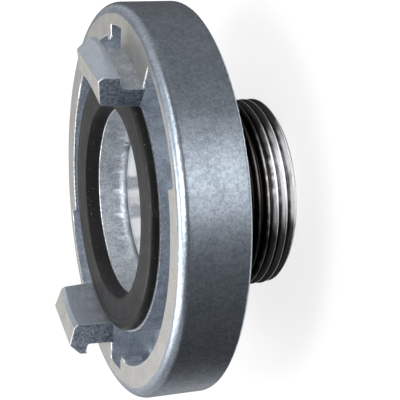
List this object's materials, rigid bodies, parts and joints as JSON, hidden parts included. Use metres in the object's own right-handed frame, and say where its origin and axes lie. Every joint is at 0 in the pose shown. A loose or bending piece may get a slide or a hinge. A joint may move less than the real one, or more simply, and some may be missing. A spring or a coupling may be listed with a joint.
{
  "type": "fire hose coupling",
  "caption": "Quarter-turn claw coupling half for a fire hose line, with a rubber lip seal in its collar and a male pipe thread on its tail.",
  "frame": {"origin": "on the coupling axis, in the plane of the threaded tail's end", "axes": "+Z along the coupling axis from the tail to the claws; +X through the middle of one claw"},
  "size_m": [0.098, 0.098, 0.0499],
  "materials": {
    "coupling_body": "cast, with turned faces, ring, bore and tail",
    "lip_seal": "moulded, matt"
  },
  "bodies": {
    "root": {"coupling_body": "coupling_body", "lip_seal": "lip_seal"}
  },
  "joints": []
}
